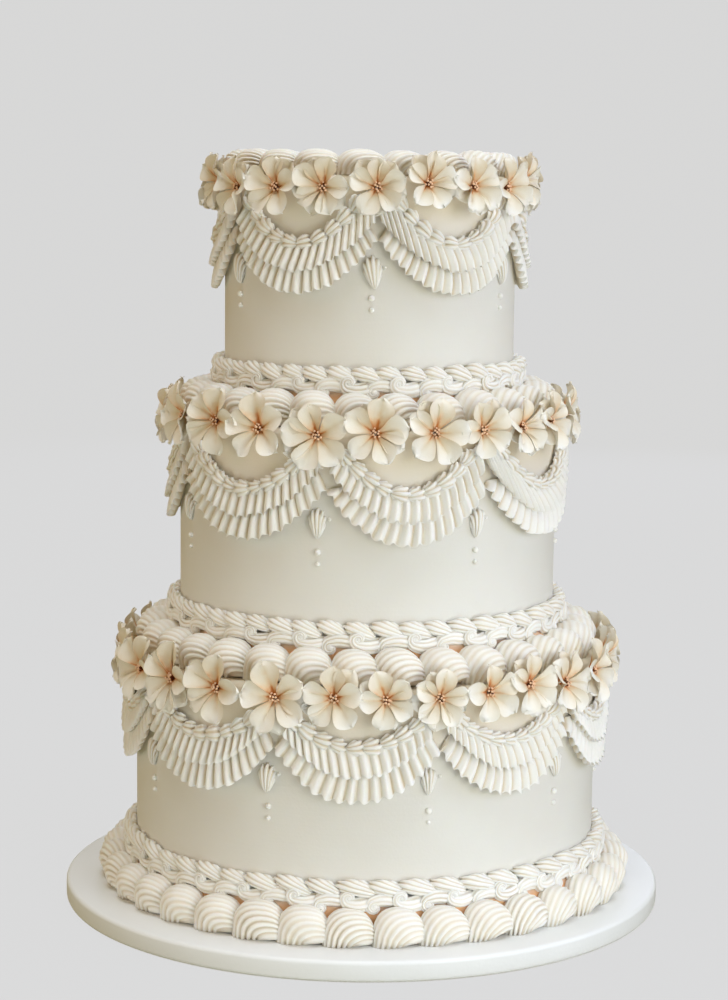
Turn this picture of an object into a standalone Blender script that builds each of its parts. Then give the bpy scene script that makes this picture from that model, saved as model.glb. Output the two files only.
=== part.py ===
"""A three-tier wedding cake with over-piped swags, shell borders and sugar blossoms, on its board.

Z is up and the origin is the middle of the board's underside. The front of the cake faces -Y.
Lengths are millimetres in the constants below and metres in the scene. An angle is measured
round the cake in degrees, from the front (-Y) towards +X.
"""

import math
import random

import bmesh
import bpy
from mathutils import Euler, Matrix, Vector

MM = 0.001

# The board, a 14 inch drum, and the cake that stands a little right of its middle
BOARD_RADIUS = 177.8
BOARD_THICKNESS = 12.0
BOARD_EDGE = 1.5
CAKE_SHIFT = 1.4

# Every tier has the same height, and a radius one inch less than the tier below
TIER_HEIGHT = 139.0
TIER_STEP = 26.0
TIER_EDGE = 4.0
BOTTOM_RADIUS = 137.0
TURNED_STEPS = 40

# Separate pieces keep this gap
GAP = 0.4

# Shell borders: a ring of puffed shells, each fat at its head and pinched where the next begins.
# A section is given as shares of the shell's width and height, from its inner foot to its outer
SHELL_PINCH = 0.64
SHELL_SAMPLES = (0.0, 0.34, 0.7)
SHELL_UNEVEN = 0.04
CORNER_SECTION = ((0.0, 0.0), (0.0, 0.84), (0.56, 1.0), (0.92, 0.64), (1.0, 0.0))
FREE_SECTION = ((0.0, 0.0), (0.14, 0.66), (0.6, 1.0), (0.93, 0.66), (1.0, 0.0))
LEDGE_SHELL_HEIGHT = 18.8
LEDGE_SHELL_OVERHANG = 0.5
CROWN_SHELL_HEIGHT = 13.6
CROWN_SHELL_WIDTH = 23.0
CROWN_SHELL_OVERHANG = 0.5
BASE_SHELL_HEIGHT = 20.4
BASE_SHELL_WIDTH = 21.5

# Rope borders against the wall, above the shells: scrolls that curl down and up in turn
ROPE_BOTTOM = 19.6
ROPE_TOP = 37.0
ROPE_PROUD = 9.0
ROPE_CURL = 2.6
SCROLL_PITCH = 13.6

# Swags, measured down from the tier's top: heights where two meet, and at their lowest
SWAG_PROUD = 8.2
SWAG_COLUMNS = 9
SWAG_PLEAT = 1.3
SWAG_TOP = (20.0, 35.0)
SWAG_UPPER_LIP = (27.0, 53.0)
SWAG_LOWER_LIP = (33.0, 65.0)
CHAIN_PROUD = 4.6

# Drops piped on the wall below each point where two swags meet
DROP_TOP = 45.0
DROP_LENGTH = 16.5
DROP_WIDTH = 9.6
DROP_PROUD = 4.0
DROP_SIDES = 5
DROP_SHIFT = -1.5

# Two pearls on the wall under each drop: how far below the tier's top, and how wide
PEARLS = ((67.5, 4.0), (74.0, 3.2))
PEARL_SIDES = 4

# Blossoms, facing outwards in a garland round each tier's top edge. Each is opened wide enough
# to overlap its neighbours' petals
PETALS = 5
BLOSSOM_OVERLAP = 1.07
BLOSSOM_LEAST_RADIUS = 17.0
BLOSSOM_STAND_OFF = 10.5
BLOSSOM_DEPTH = 7.8
BLOSSOM_TILT = 7.0
BLOSSOM_SPIN = 8.0
PETAL_NOTCH = 0.6
PETAL_END_TURN = 18.5
PETAL_CUP = 2.6
THROAT_DEPTH = 5.2
SEAT_SHARE = 0.5

WALL_ICING = ("wall_icing", (0.80, 0.76, 0.66), 0.62)
PIPED_ICING = ("piped_icing", (0.88, 0.86, 0.79), 0.55)
BLOSSOM_SUGAR = ("blossom_sugar", (0.86, 0.80, 0.68), 0.60)
BOARD_WHITE = ("board_white", (0.82, 0.83, 0.83), 0.45)


class Tier:
    """One tier: its size, its seat above the board's underside, and how many of each thing it has."""

    def __init__(self, name, level, shells, front_peaks, swags, front_blossoms, blossoms, rise):
        self.name = name
        self.radius = BOTTOM_RADIUS - TIER_STEP * level
        self.shells = shells
        self.peaks = angles_round(front_peaks, swags)
        self.blossoms = angles_round(front_blossoms, blossoms)
        self.blossom_rise = rise


def angles_round(front, count):
    """This many angles round the cake: those at the front as given, the rest even round the back."""
    rest = count - len(front) + 1
    step = (front[0] + 360.0 - front[-1]) / rest
    return list(front) + [front[-1] + step * k for k in range(1, rest)]


BOTTOM_FRONT = (-65.0, -50.0, -35.4, -20.4, -7.1, 4.5, 16.4, 28.5, 39.7, 52.2, 66.5)
MIDDLE_FRONT = (-65.0, -47.0, -31.1, -13.8, 1.7, 18.3, 32.8, 47.6, 62.4, 79.0)
TOP_FRONT = (-73.0, -56.0, -35.4, -16.9, 2.3, 20.6, 38.8, 57.6, 73.0)
TIERS = (
    Tier("bottom", 0, 33, (-59.8, -20.8, 16.8, 53.2), 10, BOTTOM_FRONT, 29, -2.5),
    Tier("middle", 1, 27, (-63.5, -11.5, 34.5, 86.0), 7, MIDDLE_FRONT, 24, 0.5),
    Tier("top", 2, 21, (-57.3, 2.7, 62.7), 6, TOP_FRONT, 20, -5.5),
)
BASE_SHELLS = 36


def polar(radius, angle, height):
    """The point at this radius, angle and height, in metres."""
    turn = math.radians(angle)
    return Vector((radius * math.sin(turn), -radius * math.cos(turn), height)) * MM


def material(name, colour, roughness):
    """The material of this name, made once."""
    made = bpy.data.materials.get(name)
    if made is None:
        made = bpy.data.materials.new(name)
        made.use_nodes = True
        shader = made.node_tree.nodes["Principled BSDF"]
        shader.inputs["Base Color"].default_value = (*colour, 1.0)
        shader.inputs["Roughness"].default_value = roughness
        shader.inputs["Metallic"].default_value = 0.0
    return made


def new_object(name, mesh, finish, collection, parent=None):
    """An object for the mesh, with its finish, linked and parented."""
    mesh.materials.clear()
    mesh.materials.append(material(*finish))
    piece = bpy.data.objects.new(name, mesh)
    collection.objects.link(piece)
    piece.parent = parent
    return piece


def empty(name, height, shift, collection, parent=None):
    """A frame for pieces to hang on, at a height over its parent."""
    frame = bpy.data.objects.new(name, None)
    frame.location = (shift * MM, 0.0, height * MM)
    frame.empty_display_size = 0.05
    collection.objects.link(frame)
    frame.parent = parent
    return frame


def mesh_from(build, name):
    """A mesh from a function that fills a bmesh, with its normals facing out."""
    bm = bmesh.new()
    build(bm)
    bmesh.ops.recalc_face_normals(bm, faces=bm.faces)
    mesh = bpy.data.meshes.new(name)
    bm.to_mesh(mesh)
    bm.free()
    return mesh


def loft(name, sections, closed):
    """A skin over sections that are loops of as many points. An open row of sections is capped."""

    def build(bm):
        rings = [[bm.verts.new(point) for point in section] for section in sections]
        after = rings[1:] + rings[:1] if closed else rings[1:]
        for here, there in zip(rings, after):
            for k in range(len(here)):
                m = (k + 1) % len(here)
                bm.faces.new((here[k], here[m], there[m], there[k]))
        if not closed:
            bm.faces.new(rings[0])
            bm.faces.new(rings[-1])

    return mesh_from(build, name)


def turned(name, profile, finish, collection, parent):
    """A solid turned round Z from a profile of (radius, height) that starts and ends on the axis."""
    mesh = bpy.data.meshes.new(name)
    points = [(radius * MM, 0.0, height * MM) for radius, height in profile]
    mesh.from_pydata(points, [(k, k + 1) for k in range(len(points) - 1)], [])
    piece = new_object(name, mesh, finish, collection, parent)
    screw = piece.modifiers.new("turn", "SCREW")
    screw.steps = screw.render_steps = TURNED_STEPS
    screw.use_merge_vertices = True
    screw.merge_threshold = 0.0001
    return piece


def applied(piece):
    """The piece with its modifiers applied."""
    bpy.context.view_layer.update()
    graph = bpy.context.evaluated_depsgraph_get()
    mesh = bpy.data.meshes.new_from_object(piece.evaluated_get(graph))
    piece.modifiers.clear()
    piece.data = mesh
    return piece


def fused(piece, others):
    """The piece joined with every object of a collection, which is then removed."""
    union = piece.modifiers.new("fuse", "BOOLEAN")
    union.operation = "UNION"
    union.operand_type = "COLLECTION"
    union.collection = others
    union.solver = "MANIFOLD"
    applied(piece)
    for other in list(others.objects):
        bpy.data.objects.remove(other)
    bpy.data.collections.remove(others)
    return piece


def tools_collection(name):
    """A collection for pieces that are about to be fused."""
    made = bpy.data.collections.new(name)
    bpy.context.scene.collection.children.link(made)
    return made


def soften(piece):
    """Smooth shading with the real edges kept."""
    piece.data.shade_smooth()
    piece.data.set_sharp_from_angle(angle=math.radians(50.0))


def board(collection, parent):
    """The round drum board."""
    profile = [
        (0.0, BOARD_THICKNESS),
        (BOARD_RADIUS - BOARD_EDGE, BOARD_THICKNESS),
        (BOARD_RADIUS, BOARD_THICKNESS - BOARD_EDGE),
        (BOARD_RADIUS, 0.0),
        (0.0, 0.0),
    ]
    return turned("board", profile, BOARD_WHITE, collection, parent)


def drop(tier, angle, collection, parent):
    """A piped drop: fat at its head and drawn down to a point, half sunk in the wall."""
    sections = []
    for share, size in ((0.0, 0.45), (0.3, 1.0), (1.0, 0.12)):
        height = TIER_HEIGHT - DROP_TOP - DROP_LENGTH * share
        loop = []
        for k in range(DROP_SIDES):
            turn = math.tau * (k + 0.5) / DROP_SIDES
            across = math.degrees(size * DROP_WIDTH / 2 * math.cos(turn) / tier.radius)
            loop.append(polar(tier.radius + size * DROP_PROUD * math.sin(turn), angle + across, height))
        sections.append(loop)
    return new_object("drop", loft("drop", sections, closed=False), PIPED_ICING, collection, parent)


def pearl(tier, angle, depth, width, collection, parent):
    """A small pearl half sunk in the wall, as a cone with a few sides."""
    bpy_mesh = bpy.data.meshes.new("pearl")
    bm = bmesh.new()
    bmesh.ops.create_cone(
        bm, cap_ends=True, segments=PEARL_SIDES, radius1=width * MM * 0.62, radius2=0.0, depth=width * MM * 1.1
    )
    turn = Euler((math.radians(90.0), 0.0, math.radians(angle)), "XYZ").to_matrix().to_4x4()
    place = Matrix.Translation(polar(tier.radius + 0.2, angle, TIER_HEIGHT - depth))
    bm.transform(place @ turn)
    bm.to_mesh(bpy_mesh)
    bm.free()
    return new_object("pearl", bpy_mesh, PIPED_ICING, collection, parent)


def tier_body(tier, collection, parent):
    """The smooth iced cake with its drops and pearls."""
    profile = [
        (0.0, TIER_HEIGHT),
        (tier.radius - TIER_EDGE, TIER_HEIGHT),
        (tier.radius, TIER_HEIGHT - TIER_EDGE),
        (tier.radius, GAP),
        (0.0, GAP),
    ]
    body = applied(turned(f"tier_{tier.name}", profile, WALL_ICING, collection, parent))
    extras = tools_collection("extras")
    for peak in tier.peaks:
        drop(tier, peak + DROP_SHIFT, extras, parent)
        for depth, width in PEARLS:
            pearl(tier, peak + DROP_SHIFT, depth, width, extras, parent)
    return fused(body, extras)


def shell_ring(name, count, section, inner, outer, height, collection, parent, seed):
    """A closed border of shells that stands on z 0, from one radius to the other."""
    rng = random.Random(seed)
    sections = []
    for k in range(count):
        size = 1.0 + rng.uniform(-SHELL_UNEVEN, SHELL_UNEVEN)
        for sample in SHELL_SAMPLES:
            swell = SHELL_PINCH + (1 - SHELL_PINCH) * math.sin(math.pi * sample**0.8) ** 0.6
            narrow = 0.16 * (outer - inner) * (1.0 - swell)
            angle = 360.0 * (k + sample) / count
            loop = []
            for across, up in section:
                radius = inner + (outer - inner - 2.0 * narrow) * across + narrow
                if section is CORNER_SECTION:
                    radius = inner + (outer - inner - 2.0 * narrow) * across
                loop.append(polar(radius, angle, height * size * swell * up))
            sections.append(loop)
    return new_object(name, loft(name, sections, closed=True), PIPED_ICING, collection, parent)


def rope_ring(name, radius, collection, parent):
    """Two rows of scrolls against the wall, the lower row curling down and up in turn."""
    count = 2 * round(math.pi * (radius + ROPE_PROUD / 2) / SCROLL_PITCH)
    wall = radius + GAP
    sections = []
    for k in range(count):
        curl = ROPE_CURL if k % 2 else 0.0
        angle = 360.0 * k / count
        sections.append(
            [
                polar(wall, angle, ROPE_BOTTOM - 1.0 + curl * 0.4),
                polar(radius + ROPE_PROUD, angle, ROPE_BOTTOM + 1.2 + curl),
                polar(radius + ROPE_PROUD * 0.62 + curl * 0.2, angle, ROPE_TOP - 3.2),
                polar(wall, angle, ROPE_TOP - 2.4 + curl),
            ]
        )
    return new_object(name, loft(name, sections, closed=True), PIPED_ICING, collection, parent)


def swag(name, tier, left, right, collection, parent):
    """A double ruffle that hangs between two angles, with a chain of small shells along its top."""
    clear = math.degrees(GAP / tier.radius)
    wall = tier.radius + GAP
    sections = []
    for k in range(SWAG_COLUMNS):
        share = k / (SWAG_COLUMNS - 1)
        angle = left + clear + (right - left - 2 * clear) * share
        hang = 1.0 - (2.0 * share - 1.0) ** 2
        top, upper, lower = (
            TIER_HEIGHT - peak - (low - peak) * hang
            for peak, low in (SWAG_TOP, SWAG_UPPER_LIP, SWAG_LOWER_LIP)
        )
        pleat = SWAG_PLEAT if k % 2 else -SWAG_PLEAT
        proud = SWAG_PROUD * (0.82 + 0.18 * hang)
        sections.append(
            [
                polar(wall, angle, top),
                polar(tier.radius + CHAIN_PROUD, angle, top - 2.6),
                polar(tier.radius + proud + pleat * 0.6, angle, upper - pleat * 0.5),
                polar(tier.radius + proud * 0.56, angle, upper + 0.8),
                polar(tier.radius + proud * 0.82 + pleat * 0.6, angle, lower - pleat * 0.5),
                polar(wall, angle, lower + 2.2),
            ]
        )
    return new_object(name, loft(name, sections, closed=False), PIPED_ICING, collection, parent)


def blossom_mesh(radius):
    """A five-petal blossom facing +Z: cupped petals round a sunk throat, and a flat seat behind."""

    def point(share, turn, height):
        turn = math.radians(turn)
        reach = radius * share
        return Vector((reach * math.cos(turn), reach * math.sin(turn), height)) * MM

    def build(bm):
        throat = bm.verts.new(point(0.0, 0.0, -THROAT_DEPTH))
        rim, seat = [], []
        half = 180.0 / PETALS
        for petal in range(PETALS):
            turn = 360.0 * petal / PETALS
            rim.append(bm.verts.new(point(PETAL_NOTCH, turn - half, -PETAL_CUP)))
            rim.append(bm.verts.new(point(1.0, turn - PETAL_END_TURN, 0.0)))
            rim.append(bm.verts.new(point(1.0, turn + PETAL_END_TURN, 0.0)))
            seat.append(bm.verts.new(point(SEAT_SHARE, turn, -BLOSSOM_DEPTH)))
        for k, here in enumerate(rim):
            there = rim[(k + 1) % len(rim)]
            bm.faces.new((here, there, throat))
            bm.faces.new((here, seat[k // 3], there))
        for petal in range(PETALS):
            after = (petal + 1) % PETALS
            bm.faces.new((rim[3 * after], seat[petal], seat[after]))
        bm.faces.new(seat)

    return mesh_from(build, "blossom")


def blossom_radius(tier, k):
    """The radius at which a blossom's petals overlap the further of its two neighbours."""
    count = len(tier.blossoms)
    before = (tier.blossoms[k] - tier.blossoms[k - 1]) % 360.0
    after = (tier.blossoms[(k + 1) % count] - tier.blossoms[k]) % 360.0
    reach = 2.0 * (tier.radius + BLOSSOM_STAND_OFF) * math.sin(math.radians(max(before, after)) / 2)
    return max(BLOSSOM_LEAST_RADIUS, BLOSSOM_OVERLAP * reach / 2)


def garland(tier, collection, parent, seed):
    """A ring of blossoms whose petals overlap, fused into one piece."""
    rng = random.Random(seed)
    others = tools_collection("blossoms")
    first = None
    for k, angle in enumerate(tier.blossoms):
        home = others if k else collection
        name = "blossom" if k else f"garland_{tier.name}"
        piece = new_object(name, blossom_mesh(blossom_radius(tier, k)), BLOSSOM_SUGAR, home)
        spin = Matrix.Rotation(math.radians(90.0 + rng.uniform(-BLOSSOM_SPIN, BLOSSOM_SPIN)), 4, "Z")
        face = Euler((math.radians(90.0 - BLOSSOM_TILT), 0.0, math.radians(angle)), "XYZ").to_matrix().to_4x4()
        height = TIER_HEIGHT + tier.blossom_rise + rng.uniform(-0.6, 0.6)
        place = Matrix.Translation(polar(tier.radius + BLOSSOM_STAND_OFF, angle, height))
        piece.data.transform(place @ face @ spin)
        if k == 0:
            first = piece
    fused(first, others)
    first.parent = parent
    return first


def clear_scene():
    """An empty scene to start from."""
    for thing in list(bpy.data.objects):
        bpy.data.objects.remove(thing)


def main():
    clear_scene()
    cake = bpy.data.collections.new("lambeth_cake")
    bpy.context.scene.collection.children.link(cake)
    drum = empty("board_frame", 0.0, 0.0, cake)
    board(cake, drum)

    below = empty("board_top_frame", BOARD_THICKNESS, CAKE_SHIFT, cake, drum)
    base_inner = BOTTOM_RADIUS + GAP
    base = empty("base_shell_frame", GAP, 0.0, cake, below)
    base_outer = base_inner + BASE_SHELL_WIDTH
    shell_ring(
        "shells_base", BASE_SHELLS, CORNER_SECTION, base_inner, base_outer, BASE_SHELL_HEIGHT, cake, base, 1
    )
    for level, tier in enumerate(TIERS):
        stand = empty(f"tier_{tier.name}_frame", TIER_HEIGHT * level, 0.0, cake, below)
        tier_body(tier, cake, stand)
        rope_ring(f"rope_{tier.name}", tier.radius, cake, stand)
        ledge = empty(f"ledge_{tier.name}_frame", TIER_HEIGHT + GAP, 0.0, cake, stand)
        if tier is TIERS[-1]:
            section, height = FREE_SECTION, CROWN_SHELL_HEIGHT
            outer = tier.radius + CROWN_SHELL_OVERHANG
            inner = outer - CROWN_SHELL_WIDTH
        else:
            section, height = CORNER_SECTION, LEDGE_SHELL_HEIGHT
            outer = tier.radius + LEDGE_SHELL_OVERHANG
            inner = TIERS[level + 1].radius + GAP
        name = f"shells_{tier.name}"
        shell_ring(name, tier.shells, section, inner, outer, height, cake, ledge, 10 + level)
        garland(tier, cake, stand, 20 + level)
        ends = tier.peaks[1:] + [tier.peaks[0] + 360.0]
        for k, (left, right) in enumerate(zip(tier.peaks, ends)):
            swag(f"swag_{tier.name}_{k + 1:02d}", tier, left, right, cake, stand)
    for piece in cake.objects:
        if piece.type == "MESH":
            soften(piece)


main()
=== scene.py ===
"""The looks of a three-tier piped wedding cake: icing, piping, sugar blossoms, board and studio.

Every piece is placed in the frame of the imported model. Lengths are millimetres in the classes and
metres in the meshes. Piping is worked out flat, as (along, proud, height) on the unrolled wall of
its tier, and is then wrapped round the cake. Angles run round the cake from the front (-Y) to +X.
"""

import logging
import math
from dataclasses import dataclass, field, replace
from enum import Enum

import bpy
import numpy as np
from mathutils import Matrix, Vector


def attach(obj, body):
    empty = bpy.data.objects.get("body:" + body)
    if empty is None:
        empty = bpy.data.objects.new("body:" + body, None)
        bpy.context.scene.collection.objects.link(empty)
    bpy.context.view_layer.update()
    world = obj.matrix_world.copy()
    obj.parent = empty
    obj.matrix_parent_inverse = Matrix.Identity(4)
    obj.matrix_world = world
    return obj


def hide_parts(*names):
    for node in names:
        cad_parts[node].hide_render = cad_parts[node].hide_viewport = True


LOG = logging.getLogger("lambeth_cake")
MM = 0.001
CAKE_SHIFT = 1.4
BOARD_THICKNESS = 12.0
TIER_HEIGHT = 139.0
BEAD_ROWS = 6
BEAD_COLUMNS = 10
GOLDEN_TURN = 2.399963
Colour = tuple[float, float, float]
Place = tuple[float, float, float]


class Curl(Enum):
    """Which way the head of a scroll turns."""

    UP = 1.0
    DOWN = -1.0


class Row(Enum):
    """The two rows of a rope border."""

    SHELLS = "shells"
    SCROLLS = "scrolls"


@dataclass(frozen=True)
class Ring:
    """How many things stand in a ring, and the angle of the first, in degrees."""

    count: int
    first: float


def angles_round(front: list[float], count: int) -> list[float]:
    """Angles round the cake, given those that show at the front.

    Args:
        front: the angles at the front, in degrees, from left to right.
        count: how many there are in all.

    Returns:
        The front angles, then the rest, evenly spread round the back.
    """
    rest = count - len(front) + 1
    step = (front[0] + 360.0 - front[-1]) / rest
    return list(front) + [front[-1] + step * k for k in range(1, rest)]


@dataclass
class MeshStore:
    """Closed skins and their named values, gathered into the mesh of one piece."""

    points: list[np.ndarray] = field(default_factory=list)
    faces: list[list[int]] = field(default_factory=list)
    values: dict[str, list[np.ndarray]] = field(default_factory=dict)
    count: int = 0

    def add_tube(self, loops: np.ndarray, values: dict[str, np.ndarray]) -> None:
        """Adds a closed skin over a row of loops, with a fan over each end.

        Args:
            loops: points in millimetres, of shape (sections, points in a loop, 3).
            values: named values for every point, each of shape (sections, points in a loop).
        """
        rows, columns = loops.shape[:2]
        middles = np.stack([loops[0].mean(0), loops[-1].mean(0)])
        flat = np.concatenate([loops.reshape(-1, 3), middles])
        ring = np.arange(rows * columns).reshape(rows, columns)
        here, there = ring[:-1], ring[1:]
        quads = np.stack([here, np.roll(here, -1, 1), np.roll(there, -1, 1), there], -1)
        quads = quads.reshape(-1, 4)
        first, last = ring[0], ring[-1]
        start = np.stack([np.full(columns, rows * columns), np.roll(first, -1), first], -1)
        end = np.stack([np.full(columns, rows * columns + 1), last, np.roll(last, -1)], -1)
        corners = flat[quads]
        middle = flat.mean(0)
        across = np.cross(corners[:, 2] - corners[:, 0], corners[:, 3] - corners[:, 1])
        if (across * (corners.mean(1) - middle)).sum() < 0.0:
            quads, start, end = quads[:, ::-1], start[:, ::-1], end[:, ::-1]
        for part in (quads, start, end):
            self.faces.extend((part + self.count).tolist())
        self.points.append(flat)
        self.count += len(flat)
        for name, value in values.items():
            ends = [value[0].mean(), value[-1].mean()]
            self.values.setdefault(name, []).append(np.concatenate([value.ravel(), ends]))

    def build(
        self, name: str, material: bpy.types.Material, crease: float = 180.0
    ) -> bpy.types.Object:
        """Makes the piece.

        Args:
            name: the piece's name.
            material: its finish.
            crease: the angle in degrees beyond which an edge is sharp.

        Returns:
            The piece, smooth shaded, in the scene.
        """
        mesh = bpy.data.meshes.new(name)
        mesh.from_pydata((np.concatenate(self.points) * MM).tolist(), [], self.faces)
        for key, parts in self.values.items():
            data = mesh.attributes.new(key, "FLOAT", "POINT").data
            data.foreach_set("value", np.concatenate(parts).astype(np.float32))
        mesh.shade_smooth()
        if crease < 180.0:
            mesh.set_sharp_from_angle(angle=math.radians(crease))
        mesh.materials.append(material)
        piece = bpy.data.objects.new(name, mesh)
        bpy.context.scene.collection.objects.link(piece)
        LOG.info("%s: %d faces", name, len(mesh.polygons))
        return piece


def mount(piece: bpy.types.Object, nodes: list[str]) -> None:
    """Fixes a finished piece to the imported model.

    Args:
        piece: the piece.
        nodes: the solids that the piece stands for.
    """
    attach(piece, "root")
    if nodes:
        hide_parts(*nodes)


def ball(along: float, proud: float, height: float, size: float) -> np.ndarray:
    """A ball of icing on a flat wall.

    Args:
        along: the place of its middle along the wall.
        proud: how far its middle stands off the wall.
        height: of its middle over the wall's foot.
        size: its radius.

    Returns:
        Loops of (along, proud, height).
    """
    lean = np.linspace(0.16, math.pi - 0.16, BEAD_ROWS)[:, None]
    turn = (np.arange(BEAD_COLUMNS) * math.tau / BEAD_COLUMNS)[None, :]
    across = np.sin(lean) * np.cos(turn)
    out = np.sin(lean) * np.sin(turn)
    up = np.broadcast_to(-np.cos(lean), across.shape)
    return np.stack([across, out, up], -1) * size + np.array([along, proud, height])


@dataclass(frozen=True)
class Wall:
    """A cylinder of the cake on which piping is laid."""

    radius: float
    seat: float

    def wrap(self, flat: np.ndarray, angle: float) -> np.ndarray:
        """Wraps flat piping round the wall.

        Args:
            flat: points as (along, proud, height above the seat).
            angle: where the flat origin falls, in degrees round the cake.

        Returns:
            The points in the cake's frame, in millimetres.
        """
        turn = math.radians(angle) + flat[..., 0] / self.radius
        reach = self.radius + flat[..., 1]
        across = CAKE_SHIFT + reach * np.sin(turn)
        return np.stack([across, -reach * np.cos(turn), self.seat + flat[..., 2]], -1)


@dataclass
class Tier:
    """One tier of the cake and what is piped on it.

    Attributes:
        name: the tier's name.
        level: 0 for the bottom tier, and one more for each tier above.
        rope: the shells and the scrolls of the rope round its foot. The scrolls count singly.
        crown: the large shells on its ledge or top.
        front_peaks: the angles at the front where two swags meet.
        swags: how many there are in all.
        front_blossoms: the angles of the blossoms at the front.
        blossom_rises: how far those stand over the tier's top.
        blossoms: how many there are in all.
        rise: how far the other blossoms stand over the tier's top.
    """

    name: str
    level: int
    rope: dict[Row, Ring]
    crown: Ring
    front_peaks: list[float]
    swags: int
    front_blossoms: list[float]
    blossom_rises: list[float]
    blossoms: int
    rise: float

    @property
    def radius(self) -> float:
        """The radius of the iced wall."""
        return 137.0 - 26.0 * self.level

    @property
    def seat(self) -> float:
        """The height of the tier's foot over the board's underside."""
        return BOARD_THICKNESS + TIER_HEIGHT * self.level

    @property
    def wall(self) -> Wall:
        """The wall that the tier's piping is laid on."""
        return Wall(self.radius, self.seat)

    @property
    def peaks(self) -> list[float]:
        """The angles where two swags meet."""
        return angles_round(self.front_peaks, self.swags)

    @property
    def blossom_angles(self) -> list[float]:
        """The angles of the blossoms."""
        return angles_round(self.front_blossoms, self.blossoms)


@dataclass(frozen=True)
class ShellShape:
    """The measures of a piped shell, with its head at the left and its tail at the right.

    Attributes:
        length: from the head to where the next shell covers the tail.
        height: of the crest over what the shell is piped on.
        width: across the shell.
        tail: how wide the tail still is, as a share of the width.
        taper: how the sides run to the tail: 0.5 is round and 1 is straight.
        shoulder: where along the shell the sides begin to narrow.
        lean: how far the narrowing comes from the upper side only, from 0 to 1.
        crest: how deep the ribs are along the crest, as a share of those at the sides.
        head: how much deeper the ribs are at the head.
        start: how wide the foot of the head is, as a share of the width.
    """

    length: float
    height: float
    width: float
    tail: float = 0.36
    taper: float = 0.5
    shoulder: float = 0.34
    lean: float = 0.0
    crest: float = 1.0
    head: float = 0.5
    start: float = 0.9

    def scaled(self, size: float) -> "ShellShape":
        """The same shape, larger or smaller."""
        sizes = {name: getattr(self, name) * size for name in ("length", "height", "width")}
        return replace(self, **sizes)


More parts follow.
